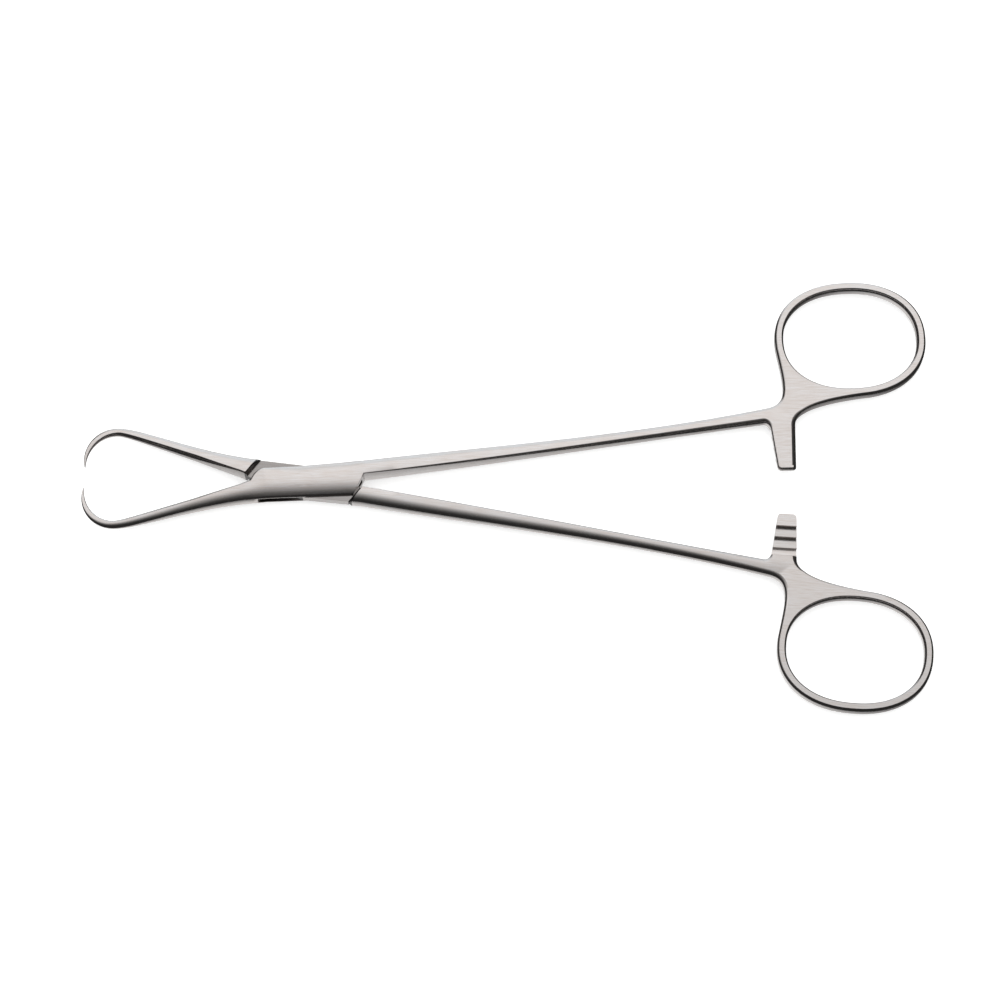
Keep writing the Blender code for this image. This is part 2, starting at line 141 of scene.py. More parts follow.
# The web between shank, ring and ratchet bar
web = {
    "outerJoin": (-1.5, 14.4),  # bar's left side to where the shank's outer edge ends
    "innerJoin": (-1.0, -3.3),  # from there to where its inner edge ends
    "innerDrop": 1.7,
    "innerLead": 0.8,
    "innerRise": 1.0,
    "farStart": 10.6,  # axis to where the far side of the bar starts to curve out
    "farRise": 3.2,
    "farLead": 10.0,
    "farSlope": 0.12,
    "topPull": 0.57,
    "topLead": 5.0,
    "joinTop": 188,  # angles round the ring, in degrees
    "joinLow": 275,
    "edge": (0.42, 0.45, 10),
}
ratchet = {
    "inset": 1.13,  # the ring's near side to the middle of the bar
    "width": 4.0,
    "lean": 6.5,  # of the side that faces the lock
    "flare": 0.3,  # gained on the far side, from the end to the fillet
    "endGap": 0.5,  # left between the two bars when the points touch
    "corner": 0.8,
    "pitch": 2.5,
    "height": 0.8,
    "lead": 2.9,  # bar's end to its first steep face
    "count": 3,
    "heel": 1.2,  # last steep face to where the bar starts to thicken again
    "heelRun": 0.45,
    "tipFlat": 0.02,
    "headroom": 0.05,  # of the notch cutters, over the teeth's tips
    "edge": (0.35, 0.5, 15),
    "farEdge": (0.95, 1.4, 45),
}
detail = {
    "rounding": 7,
    "shankSteps": 56,
    "jawSteps": 28,
    "hookSteps": 28,
    "ringSteps": 120,
    "filletSteps": 18,
    "cornerSteps": 8,
    "barSteps": 8,
    "crotchSteps": 4,
    "noseSteps": 6,
    "endSteps": 4,
    "rootSteps": 5,
    "cheekSteps": 16,
    "crownSteps": 9,
    "sideSteps": 10,
    "tongueSteps": 14,
    "overrun": 2.0,  # of a cutter past the steel
    "hair": 0.01,  # a margin too small to see
    "meetRounds": 20,
    "mitreLimit": 1.6,  # times its inset, the most that a corner reaches inwards
    "sharpFrom": 14.5,  # degrees between faces, from where an edge is left sharp
}

middle = lock["thickness"] / 2
tongueSide = lock["slotHeight"] / 2 - lock["clearance"]
bowAngle = 1.5 * pi  # round the hook, to its lowest place
halfLength = ring["innerLength"] / 2
halfWidth = ring["innerWidth"] / 2
ringCentre = Vector((ring["reach"], ring["offset"]))
barMiddle = ring["reach"] - halfLength - ring["wire"] + ratchet["inset"]
barLeft = barMiddle - ratchet["width"] / 2
barRight = barMiddle + ratchet["width"] / 2
barEnd = ratchet["endGap"] / 2
hookCentre = Vector((jaw["hookRadius"] - jaw["reach"], jaw["hookRadius"] - jaw["depth"]))
tipAngle = pi - asin((-jaw["tipGap"] / 2 - hookCentre.y) / jaw["hookRadius"])
jawRoot = Vector((-jaw["root"], -jaw["rootDepth"]))
shankOuterEnd = Vector((barLeft, 0)) + Vector(web["outerJoin"])
shankInnerEnd = shankOuterEnd + Vector(web["innerJoin"])
barShoulder = Vector((barRight + ratchet["flare"], web["farStart"]))

# A station of an outline. Crisp is where the rounding starts: 0 runs smoothly out of the face,
# and more leaves an edge. A sliding station keeps its rounding on the edge that follows it.
Station = namedtuple("Station", "x y inset drop crisp slide", defaults=(False,))
Edge = namedtuple("Edge", "inset drop crisp")


def shareEdge(shares, width, thickness):
    inset, drop, crisp = shares
    return Edge(inset * width, drop * thickness, crisp)


tipEdge = shareEdge(jaw["tip"], jaw["tipWidth"], jaw["tipThickness"])
bowBack = shareEdge(jaw["bowBack"], jaw["hookWidth"], jaw["hookThickness"])
bowInner = shareEdge(jaw["bowInner"], jaw["hookWidth"], jaw["hookThickness"])
jawBack, jawMiddle = Edge(*jaw["back"]), Edge(*jaw["middleBack"])
jawRootInner, jawInner = Edge(*jaw["rootInner"]), Edge(*jaw["inner"])
crown, cheekEdge, fineEdge = Edge(*lock["crown"]), Edge(*lock["cheekEdge"]), Edge(*lock["fineEdge"])
shankRootBack, shankEndBack = Edge(*shank["rootBack"]), Edge(*shank["endBack"])
shankRootInner, shankInner = Edge(*shank["rootInner"]), Edge(*shank["inner"])
ringOuterEdge, ringInnerEdge = Edge(*ring["outer"]), Edge(*ring["inner"])
webEdge = Edge(*web["edge"])
barEdge, barFarEdge = Edge(*ratchet["edge"]), Edge(*ratchet["farEdge"])


def evenly(start, end, count):
    return [start + (end - start) * step / count for step in range(count + 1)]


def bezier(start, startHandle, end, endHandle, count):
    first, last = Vector(start), Vector(end)
    second, third = first + Vector(startHandle), last - Vector(endHandle)
    points = []
    for t in evenly(0, 1, count):
        s = 1 - t
        points.append(s**3 * first + 3 * s * s * t * second + 3 * s * t * t * third + t**3 * last)
    return points


def arc(centre, radius, start, end, count):
    return [Vector(centre) + radius * Vector((cos(a), sin(a))) for a in evenly(start, end, count)]


def straight(start, end, count):
    return [start.lerp(end, share) for share in evenly(0, 1, count)]


def ringPoint(grow, angle):
    # The ring is a little squarer than an ellipse
    power = 2 / ring["squareness"]
    x = (halfLength + grow) * copysign(abs(cos(angle)) ** power, cos(angle))
    y = (halfWidth + grow) * copysign(abs(sin(angle)) ** power, sin(angle))
    turn = Matrix.Rotation(radians(ring["tilt"]), 2)
    return ringCentre + turn @ Vector((x, y))


def ringDirection(angle):
    step = radians(0.5)
    return (ringPoint(ring["wire"], angle + step) - ringPoint(ring["wire"], angle - step)).normalized()


def stations(points, first, last):
    # Along a run of points, its edge changes evenly from the first to the last
    lengths = [0.0]
    for before, after in zip(points, points[1:]):
        lengths.append(lengths[-1] + (after - before).length)
    run = []
    for point, length in zip(points, lengths):
        share = length / lengths[-1]
        edge = [a + (b - a) * share for a, b in zip(first, last)]
        run.append(Station(point.x, point.y, *edge))
    return run


def join(*runs):
    # Each run ends where the next one starts, and the last where the first does
    return [station for run in runs for station in run[:-1]]


def lowEdge(x):
    return Vector((x, lock["lowSlope"] * x - lock["lowEdge"]))


def topEdge(x):
    return Vector((x, lock["topSlope"] * x + lock["topEdge"]))


def slant(x, y):
    return Vector((x + y / tan(radians(lock["endAngle"])), y))


def meet(edge, end):
    # Where an edge of the lock and a slanting end cross, which a few rounds settle
    x = end
    for _ in range(detail["meetRounds"]):
        x = slant(end, edge(x).y).x
    return edge(x)


def thicknessAt(x, y):
    # The lock is parallel, the shank thins early and then runs on, and the jaw tapers to its point
    full, handle = lock["thickness"], shank["endThickness"]
    ease = jaw["rootEase"]
    start = jawRoot.x + ease / 2
    if x >= lock["back"]:
        share = min(1, (x - lock["back"]) / (shankOuterEnd.x - lock["back"]))
        return handle + (full - handle) * (1 - share) ** shank["taper"]
    if x >= start:
        return full
    if x >= hookCentre.x:
        run, length = start - x, start - hookCentre.x
        eased = run * run / (2 * ease) if run < ease else run - ease / 2
        return full - (full - jaw["hookThickness"]) * eased / (length - ease / 2)
    angle = atan2(y - hookCentre.y, x - hookCentre.x) % (2 * pi)
    share = min(1, max(0, (bowAngle - angle) / (bowAngle - tipAngle)))
    return jaw["hookThickness"] + (jaw["tipThickness"] - jaw["hookThickness"]) * share


def hookOutside():
    points = arc(hookCentre, jaw["hookRadius"], tipAngle, bowAngle, detail["hookSteps"])
    return stations(points, tipEdge, bowBack)


def hookInside():
    points = []
    for angle in evenly(bowAngle, tipAngle, detail["hookSteps"]):
        share = (angle - tipAngle) / (bowAngle - tipAngle)
        grown = 1 - (1 - share) ** jaw["hookGrowth"]
        width = jaw["tipWidth"] + (jaw["hookWidth"] - jaw["tipWidth"]) * grown
        points.append(hookCentre + (jaw["hookRadius"] - width) * Vector((cos(angle), sin(angle))))
    return stations(points, bowInner, tipEdge)


def jawOutside():
    bottom = hookCentre - Vector((0, jaw["hookRadius"]))
    span = jawRoot.x - bottom.x
    bowPull, rootPull = jaw["backPulls"]
    arriving = rootPull * span * Vector((1, jaw["backSlope"]))
    points = bezier(bottom, (bowPull * span, 0), jawRoot, arriving, detail["jawSteps"])
    half = detail["jawSteps"] // 2
    bow = stations(points[: half + 1], bowBack, jawMiddle)
    return bow[:-1] + stations(points[half:], jawMiddle, jawBack)


def jawInside():
    waist = Vector(jaw["waist"])
    bottom = hookCentre + Vector((0, jaw["hookWidth"] - jaw["hookRadius"]))
    span = bottom.x - waist.x
    waistPull, bowPull = jaw["innerPulls"]
    leaving = waistPull * span * Vector((1, jaw["innerSlope"]))
    points = bezier(waist, leaving, bottom, (bowPull * span, 0), detail["jawSteps"])
    crotch = Vector((-lock["front"], 0))
    bend = (waist.x - crotch.x) / 3 * Vector((1, jaw["innerSlope"]))
    turn = bezier(crotch, jaw["crotchPull"] * (waist - crotch), waist, bend, detail["crotchSteps"])
    quarter, half = detail["jawSteps"] // 4, detail["jawSteps"] // 2
    return (
        stations(turn, cheekEdge, shankRootInner)[:-1]
        + stations(points[: quarter + 1], shankRootInner, jawRootInner)[:-1]
        + stations(points[quarter : half + 1], jawRootInner, jawInner)[:-1]
        + stations(points[half:], jawInner, bowInner)
    )


def shankOutside():
    start = topEdge(lock["back"])
    reach = (shankOuterEnd.x - start.x) / 3
    leaving, arriving = reach * Vector((1, shank["slope"])), reach * Vector((1, shank["endSlope"]))
    points = bezier(start, leaving, shankOuterEnd, arriving, detail["shankSteps"])
    return stations(points, shankRootBack, shankEndBack)[::-1]


def shankInsideStart():
    return Vector((shank["innerStart"], topEdge(lock["back"]).y - shank["rootWidth"]))


def shankInsideEdge():
    start = shankInsideStart()
    reach = (shankInnerEnd.x - start.x) / 3
    leaving = reach * Vector((1, shank["innerSlope"]))
    arriving = reach * Vector((1, shank["innerEndSlope"]))
    points = bezier(start, leaving, shankInnerEnd, arriving, detail["shankSteps"])
    split = detail["shankSteps"] // 7
    near = stations(points[: split + 1], fineEdge, shankRootInner)
    return near[:-1] + stations(points[split:], shankRootInner, shankInner)


def ratchetBar():
    # The side that faces the lock leans towards it, from the bar's end up to the fillet
    corner, height, lean = ratchet["corner"], barEnd + ratchet["corner"], radians(ratchet["lean"])
    left = arc((barLeft + corner, height), corner, pi + lean, 1.5 * pi, detail["cornerSteps"])
    right = arc((barRight - corner, height), corner, -pi / 2, 0, detail["cornerSteps"])
    farSide = straight(right[-1], barShoulder, detail["barSteps"])
    sideEnd = shankInnerEnd.y - web["innerDrop"]
    end = Vector((left[0].x - (sideEnd - left[0].y) * tan(lean), sideEnd))
    leaving = web["innerLead"] * Vector((1, shank["innerEndSlope"]))
    arriving = web["innerRise"] * Vector((sin(lean), -cos(lean)))
    fillet = bezier(shankInnerEnd, leaving, end, arriving, detail["filletSteps"])
    return (
        stations(fillet, shankInner, barEdge)
        + stations(left, barEdge, barEdge)
        + stations(right, barEdge, barFarEdge)
        + stations(farSide, barFarEdge, barFarEdge)[1:]
    )


def farFillet():
    angle = radians(web["joinLow"])
    arriving = web["farLead"] * Vector((1, web["farSlope"]))
    end = ringPoint(ring["wire"], angle)
    points = bezier(barShoulder, (0, web["farRise"]), end, arriving, detail["filletSteps"])
    third = detail["filletSteps"] // 3
    turn = stations(points[: third + 1], barFarEdge, webEdge)
    return turn[:-1] + stations(points[third:], webEdge, ringOuterEdge)


def ringOutside():
    low, top = radians(web["joinLow"]), radians(web["joinTop"]) + 2 * pi
    points = [ringPoint(ring["wire"], a) for a in evenly(low, top, detail["ringSteps"])]
    return stations(points, ringOuterEdge, ringOuterEdge)


def topFillet():
    angle = radians(web["joinTop"])
    start = ringPoint(ring["wire"], angle)
    leaving = web["topPull"] * (start.y - shankOuterEnd.y) * ringDirection(angle)
    arriving = -web["topLead"] * Vector((1, shank["endSlope"]))
    points = bezier(start, leaving, shankOuterEnd, arriving, detail["filletSteps"])
    return stations(points, ringOuterEdge, shankEndBack)


def ringHole():
    points = [ringPoint(0, a) for a in evenly(2 * pi, 0, detail["ringSteps"])]
    return stations(points, ringInnerEdge, ringInnerEdge)[:-1]


def handleRuns():
    shankRuns = [shankInsideEdge(), ratchetBar(), farFillet()]
    return [*shankRuns, ringOutside(), topFillet(), shankOutside()]


def boxOutline():
    # The cheeks: rounded off along both edges and cut off square at both slanting ends
    tip = meet(topEdge, -lock["front"])
    before = topEdge(tip.x + lock["corner"])
    after = slant(-lock["front"], tip.y - lock["corner"])
    pull = lock["cornerPull"]
    nose = bezier(before, pull * (tip - before), after, pull * (after - tip), detail["noseSteps"])
    end = straight(after, Vector((-lock["front"], 0)), detail["endSteps"])
    corner = meet(lowEdge, lock["back"])
    lowCrown = lowEdge(lock["crownLow"])
    backCrown, frontCrown = (topEdge(x) for x in lock["crownTop"])
    low = stations(straight(jawRoot, lowCrown, detail["rootSteps"]), jawBack, crown)
    cheek = stations(straight(lowCrown, corner, detail["cheekSteps"]), crown, crown)
    backEnd = stations([corner, shankInsideStart()], cheekEdge, fineEdge)
    backEnd[0] = cheek[-1]._replace(slide=True)
    top = straight(topEdge(lock["back"]), backCrown, detail["rootSteps"])
    cheekTop = straight(backCrown, frontCrown, detail["crownSteps"])
    lip = straight(frontCrown, before, detail["sideSteps"])
    return join(
        hookOutside(),
        jawOutside(),
        low,
        cheek,
        backEnd,
        *handleRuns(),
        stations(top, shankRootBack, crown),
        stations(cheekTop, crown, crown),
        stations(lip, crown, cheekEdge),
        stations(nose, cheekEdge, cheekEdge),
        stations(end, cheekEdge, cheekEdge),
        jawInside(),
        hookInside(),
    )


def tongueOutline():
    # Past the pivot both of the tongue's edges turn in, one to the shank's inner edge and the
    # other to the crotch
    run = Vector((lock["tongueRun"], 0))
    turn = Vector(lock["tongueTurn"])
    waist = Vector((0, -lock["tongueLow"]))
    back = bezier(waist, run, shankInsideStart(), turn, detail["tongueSteps"])
    crest = Vector((0, lock["tongueTop"]))
    front = bezier(crest, (-lock["crestRun"], 0), (-lock["front"], 0), -turn, detail["tongueSteps"])
    low = straight(jawRoot, waist, detail["sideSteps"])
    top = straight(topEdge(lock["back"]), crest, detail["sideSteps"])
    split = detail["tongueSteps"] // 2 - 1
    return join(
        hookOutside(),
        jawOutside(),
        stations(low, jawBack, jawBack),
        stations(back[: split + 1], jawBack, fineEdge),
        stations(back[split:], fineEdge, fineEdge),
        *handleRuns(),
        stations(top, shankRootBack, shankRootBack),
        stations(front[: split + 1], shankRootBack, fineEdge),
        stations(front[split:], fineEdge, cheekEdge),
        jawInside(),
        hookInside(),
    )


def inward(loop, index):
    # From this station into the steel, which lies to the left of the loop
    before, here, after = loop[index - 1], loop[index], loop[(index + 1) % len(loop)]
    arriving = Vector((here.x - before.x, here.y - before.y)).normalized()
    leaving = Vector((after.x - here.x, after.y - here.y)).normalized()
    if here.slide:
        return leaving / (arriving.x * leaving.y - arriving.y * leaving.x)
    first, second = Vector((-arriving.y, arriving.x)), Vector((-leaving.y, leaving.x))
    mitre = (first + second) / (1 + first.dot(second))
    return mitre * min(1, detail["mitreLimit"] / mitre.length)


def levels(loop):
    # The loop at each step of the rounding, from the flat face down to the wall
    rims = []
    for step in range(detail["rounding"] + 1):
        rim = []
        for index, station in enumerate(loop):
            start = radians(station.crisp)
            angle = start + (pi / 2 - start) * step / detail["rounding"]
            inShare = (1 - sin(angle)) / (1 - sin(start))
            downShare = (cos(start) - cos(angle)) / cos(start)
            place = Vector((station.x, station.y)) + inward(loop, index) * station.inset * inShare
            height = thicknessAt(place.x, place.y) / 2 - station.drop * downShare
            rim.append((place.x, place.y, height))
        rims.append(rim)
    return rims


def faceTriangles(loops):
    # The flat face between the outline and the ring's hole
    points = [Vector(p[:2]) for loop in loops for p in loop]
    faces, start = [], 0
    for loop in loops:
        faces.append(list(range(start, start + len(loop))))
        start += len(loop)
    insideOnly, tolerance = 2, 1e-6
    _, _, triangles, sources, _, _ = delaunay_2d_cdt(points, [], faces, insideOnly, tolerance)
    return [[sources[corner][0] for corner in triangle] for triangle in triangles]


def meshFrom(bm, name):
    bmesh.ops.recalc_face_normals(bm, faces=bm.faces)
    mesh = bpy.data.meshes.new(name)
    bm.to_mesh(mesh)
    bm.free()
    return mesh


def linked(name, mesh):
    made = bpy.data.objects.new(name, mesh)
    bpy.context.scene.collection.objects.link(made)
    return made


def forging(name, outline, side):
    # Side is 1 for the half drawn as it is and -1 for the one turned over
    bm = bmesh.new()
    rims = []
    for loop in (outline, ringHole()):
        rows = levels(loop)
        upper = [[bm.verts.new((x, side * y, z)) for x, y, z in row] for row in rows]
        lower = [[bm.verts.new((x, side * y, -z)) for x, y, z in row] for row in rows]
        wall = upper + lower[::-1]
        for above, below in zip(wall, wall[1:]):
            for i in range(len(loop)):
                j = (i + 1) % len(loop)
                bm.faces.new((above[i], above[j], below[j], below[i]))
        rims.append((rows[0], upper[0], lower[0]))
    upperRim = [vertex for rim in rims for vertex in rim[1]]
    lowerRim = [vertex for rim in rims for vertex in rim[2]]
    for triangle in faceTriangles([rim[0] for rim in rims]):
        bm.faces.new([upperRim[corner] for corner in triangle])
        bm.faces.new([lowerRim[corner] for corner in reversed(triangle)])
    return linked(name, meshFrom(bm, name))


def stack(name, rows):
    # A solid from closed rows of points, from the lowest row to the highest
    bm = bmesh.new()
    rings = [[bm.verts.new(point) for point in row] for row in rows]
    bm.faces.new(rings[0][::-1])
    bm.faces.new(rings[-1])
    for below, above in zip(rings, rings[1:]):
        for i in range(len(below)):
            j = (i + 1) % len(below)
            bm.faces.new((below[i], below[j], above[j], above[i]))
    return linked(name, meshFrom(bm, name))


def turned(name, profile):
    angles = evenly(0, 2 * pi, pin["sides"])[:-1]
    return stack(name, [[(r * cos(a), r * sin(a), height) for a in angles] for r, height in profile])


def pinProfile(gap):
    # Radius and height of a pin with countersunk heads, which the box's steel then cuts off flush.
    # The gap makes the same shape a hole for it.
    shaft, head = pin["shaft"] + gap, pin["head"] + gap
    deep, far = middle - pin["headDepth"], middle + detail["overrun"]
    return [(head, -far), (head, -middle), (shaft, -deep), (shaft, deep), (head, middle), (head, far)]


def lockRegion(front, back, angle, side, height):
    # The lock seen from above between two slanting ends, and far past its sides
    reach = lock["pocketReach"]
    run = reach / tan(radians(angle))
    points = [(-front, reach), (-front, 0), (run - front, -reach)]
    points += [(back, -reach), (back, 0), (back - run, reach)]
    return [(x, side * y, height) for x, y in points][::side]


def shoulderCutter(name, facing):
    # The shoulders slope up from the tongue to the full thickness and are bevelled at the top
    runs, bevels = lock["shoulderRuns"], lock["shoulderBevels"]
    steps = [(*runs, tongueSide), (*bevels, middle - bevels[0])]
    steps += [(0, 0, middle), (0, 0, middle + detail["overrun"])]
    rows = []
    for inFront, inBack, height in steps:
        front, back = lock["shoulderFront"] - inFront, lock["shoulderBack"] - inBack
        rows.append(lockRegion(front, back, lock["shoulderAngle"], -1, facing * height))
    return stack(name, rows[::facing])


def reliefCutter(name, facing):
    # A shallow groove along the foot of the back shoulder
    near, far, depth = lock["relief"]
    reach = lock["pocketReach"]
    run = reach / tan(radians(lock["shoulderAngle"]))
    deepest, half = (near + far) / 2, lock["reliefFloor"] / 2
    foot = (deepest - half, deepest + half, tongueSide - depth)
    rows = []
    for left, right, height in (foot, (near, far, tongueSide + detail["hair"])):
        corners = [(left - run, reach), (left + run, -reach), (right + run, -reach), (right - run, reach)]
        rows.append([(x, -y, facing * height) for x, y in corners])
    return stack(name, rows[::facing])


def addNode(tree, kind, settings=None, links=None):
    # Settings are node properties or socket values by name, and links are sockets to join to
    node = tree.nodes.new(kind)
    for key, value in (settings or {}).items():
        if isinstance(key, str) and key in node.bl_rna.properties:
            setattr(node, key, value)
        else:
            node.inputs[key].default_value = value
    for key, source in (links or {}).items():
        tree.links.new(source, node.inputs[key])
    return node


def toothNotches(name, side, facing):
    # One wedge of air for each tooth, deepest on the side of the bar's end, so that every tooth
    # rises from the bar's end and drops steeply towards its root
    tree = bpy.data.node_groups.new("toothNotches", "GeometryNodeTree")
    sizes = {
        "Count": ("NodeSocketInt", ratchet["count"]),
        "Pitch": ("NodeSocketFloat", ratchet["pitch"]),
        "Lead": ("NodeSocketFloat", ratchet["lead"]),
        "Height": ("NodeSocketFloat", ratchet["height"]),
        "Tip Flat": ("NodeSocketFloat", ratchet["tipFlat"]),
        "Width": ("NodeSocketFloat", ratchet["width"] + 2 * detail["overrun"]),
    }
    for key, (kind, _) in sizes.items():
        tree.interface.new_socket(key, in_out="INPUT", socket_type=kind)
    tree.interface.new_socket("Geometry", in_out="OUTPUT", socket_type="NodeSocketGeometry")
    given = addNode(tree, "NodeGroupInput").outputs

    maths, mix = "ShaderNodeMath", "ShaderNodeMix"
    cube = addNode(tree, "GeometryNodeMeshCube", {"Size": (1, 1, 1)})
    place = addNode(tree, "GeometryNodeInputPosition")
    parts = addNode(tree, "ShaderNodeSeparateXYZ", links={0: place.outputs[0]}).outputs
    across = addNode(tree, maths, {"operation": "MULTIPLY"}, {0: parts["X"], 1: given["Width"]})
    along = addNode(tree, maths, {"operation": "ADD", 1: 0.5}, {0: parts["Y"]})
    upper = addNode(tree, maths, {"operation": "GREATER_THAN", 1: 0}, {0: parts["Z"]})
    floor = addNode(tree, maths, {"operation": "MULTIPLY"}, {0: parts["Y"], 1: given["Height"]})
    overTips = {"operation": "MULTIPLY_ADD", 1: 0.5, 2: ratchet["headroom"]}
    roof = addNode(tree, maths, overTips, {0: given["Height"]})
    walls = {"Factor": upper.outputs[0], "A": floor.outputs[0], "B": roof.outputs[0]}
    height = addNode(tree, mix, {"data_type": "FLOAT"}, walls)
    corners = {"X": across.outputs[0], "Y": along.outputs[0], "Z": height.outputs[0]}
    shaped = addNode(tree, "ShaderNodeCombineXYZ", links=corners)
    moved = {"Geometry": cube.outputs[0], "Position": shaped.outputs[0]}
    wedge = addNode(tree, "GeometryNodeSetPosition", links=moved)

    row = addNode(tree, "GeometryNodeMeshLine", links={"Count": given["Count"]})
    index = addNode(tree, "GeometryNodeInputIndex").outputs[0]
    places = {0: index, 1: given["Pitch"], 2: given["Lead"]}
    steep = addNode(tree, maths, {"operation": "MULTIPLY_ADD"}, places).outputs[0]
    first = addNode(tree, maths, {"operation": "LESS_THAN", 1: 0.5}, {0: index}).outputs[0]
    lengths = {"Factor": first, "A": given["Pitch"], "B": given["Lead"]}
    whole = addNode(tree, mix, {"data_type": "FLOAT"}, lengths).outputs[0]
    start = addNode(tree, maths, {"operation": "SUBTRACT"}, {0: steep, 1: whole}).outputs[0]
    lessTip = {0: whole, 1: given["Tip Flat"]}
    length = addNode(tree, maths, {"operation": "SUBTRACT"}, lessTip).outputs[0]
    spot = addNode(tree, "ShaderNodeCombineXYZ", links={"Y": start})
    spots = {"Geometry": row.outputs[0], "Position": spot.outputs[0]}
    spaced = addNode(tree, "GeometryNodeSetPosition", links=spots)
    scale = addNode(tree, "ShaderNodeCombineXYZ", {"X": 1, "Z": 1}, {"Y": length})
    copies = {"Points": spaced.outputs[0], "Instance": wedge.outputs[0], "Scale": scale.outputs[0]}
    teeth = addNode(tree, "GeometryNodeInstanceOnPoints", links=copies)
    solid = addNode(tree, "GeometryNodeRealizeInstances", links={"Geometry": teeth.outputs[0]})
    coat = {"Material": bareSteel}
    painted = addNode(tree, "GeometryNodeSetMaterial", coat, {"Geometry": solid.outputs[0]})
    addNode(tree, "NodeGroupOutput", links={"Geometry": painted.outputs[0]})

    holder = linked(name, bpy.data.meshes.new(name))
    modifier = holder.modifiers.new("teeth", "NODES")
    modifier.node_group = tree
    for item in tree.interface.items_tree:
        if item.in_out == "INPUT":
            modifier[item.identifier] = sizes[item.name][1]
    evaluated = holder.evaluated_get(bpy.context.evaluated_depsgraph_get())
    mesh = bpy.data.meshes.new_from_object(evaluated)
    holder.modifiers.remove(modifier)
    seat = Matrix.Translation((barMiddle, side * barEnd, 0)) @ Matrix.Diagonal((1, side, facing, 1))
    mesh.transform(seat)
    bm = bmesh.new()
    bm.from_mesh(mesh)
    bmesh.ops.recalc_face_normals(bm, faces=bm.faces)
    bm.to_mesh(mesh)
    bm.free()
    holder.data = mesh
    return holder


def ratchetPocket(name, side, facing):
    # The bar is cut down to the teeth's tips, and past the last tooth to their roots
    crest, root = ratchet["height"] / 2, -ratchet["height"] / 2
    last = ratchet["lead"] + (ratchet["count"] - 1) * ratchet["pitch"]
    heel = last + ratchet["heel"]
    rise = shank["endThickness"] / 2 - root
    start = ratchet["tipFlat"]
    points = [(-detail["overrun"], root), (start, root), (start, crest)]
    points += [(last, crest), (last, root), (heel, root)]
    for angle in evenly(0, pi / 2, detail["cornerSteps"])[1:]:
        along = heel + rise * ratchet["heelRun"] * sin(angle)
        points.append((along, root + rise * (1 - cos(angle))))
    full = shank["endThickness"] / 2 + detail["overrun"]
    points += [(points[-1][0], full), (-detail["overrun"], full)]
    bm = bmesh.new()
    rows = []
    for x in (barLeft - detail["overrun"], barRight + detail["overrun"]):
        rows.append([bm.verts.new((x, side * (barEnd + y), facing * z)) for y, z in points])
    bm.faces.new(rows[0])
    bm.faces.new(rows[1][::-1])
    for i in range(len(points)):
        j = (i + 1) % len(points)
        bm.faces.new((rows[0][i], rows[0][j], rows[1][j], rows[1][i]))
    return linked(name, meshFrom(bm, name))


def combine(piece, other, operation="DIFFERENCE"):
    # The piece's mesh becomes the result at once
    modifier = piece.modifiers.new(other.name, "BOOLEAN")
    modifier.operation = operation
    modifier.solver = "EXACT"
    modifier.object = other
    evaluated = piece.evaluated_get(bpy.context.evaluated_depsgraph_get())
    mesh = bpy.data.meshes.new_from_object(evaluated)
    piece.modifiers.remove(modifier)
    piece.data = mesh


def settle(piece, angle, material):
    # Turn a finished piece to its place, in metres, and smooth all but its real edges
    place = Matrix.Translation((0, 0, middle)) @ Matrix.Rotation(radians(angle), 4, "Z")
    piece.data.transform(Matrix.Scale(mm, 4) @ place)
    piece.data.materials.clear()
    piece.data.materials.append(material)
    piece.data.shade_smooth()
    piece.data.set_sharp_from_angle(angle=radians(detail["sharpFrom"]))
    return piece


def linear(hexColour):
    # From an sRGB hex value to the linear colour that a shader takes
    channels = [int(hexColour[i : i + 2], 16) / 255 for i in (1, 3, 5)]
    return [c / 12.92 if c <= 0.04045 else ((c + 0.055) / 1.055) ** 2.4 for c in channels] + [1]


steel = {
    "light": "#E4E3E4",
    "dark": "#DACFC8",
    "roughness": (0.21, 0.27),
    "brushLength": 3.5,  # mm along the brushing
    "brushWidth": 0.3,  # mm across it
    "brushDetail": 3,
    "brushFineness": 0.55,
    "brushRange": (0.32, 0.68),  # of the noise, which becomes the whole range of the streaks
    "cloudSize": 14.0,  # mm
    "cloudDetail": 2,
    "cloudShare": 0.55,  # of the broad patches, and the rest is streaks
    "bumpHeight": 0.0010,  # mm
    # Painted shade: a near-black colour mixed into the tongue half's faces inside the lock, where shade
    # falls between the two halves
    "paintedShadeColour": "#2B2826",
    "paintedShadeShare": 0.9,  # of the painted shade colour on the lock's inner faces, where shade falls inside the lock
    "tongueFlatShadeShare": 0.48,  # and of painted shade on the tongue's flat sides
    "paintedShadeTop": 0.99,  # of the half thickness, up to which the shoulders get painted shade
}


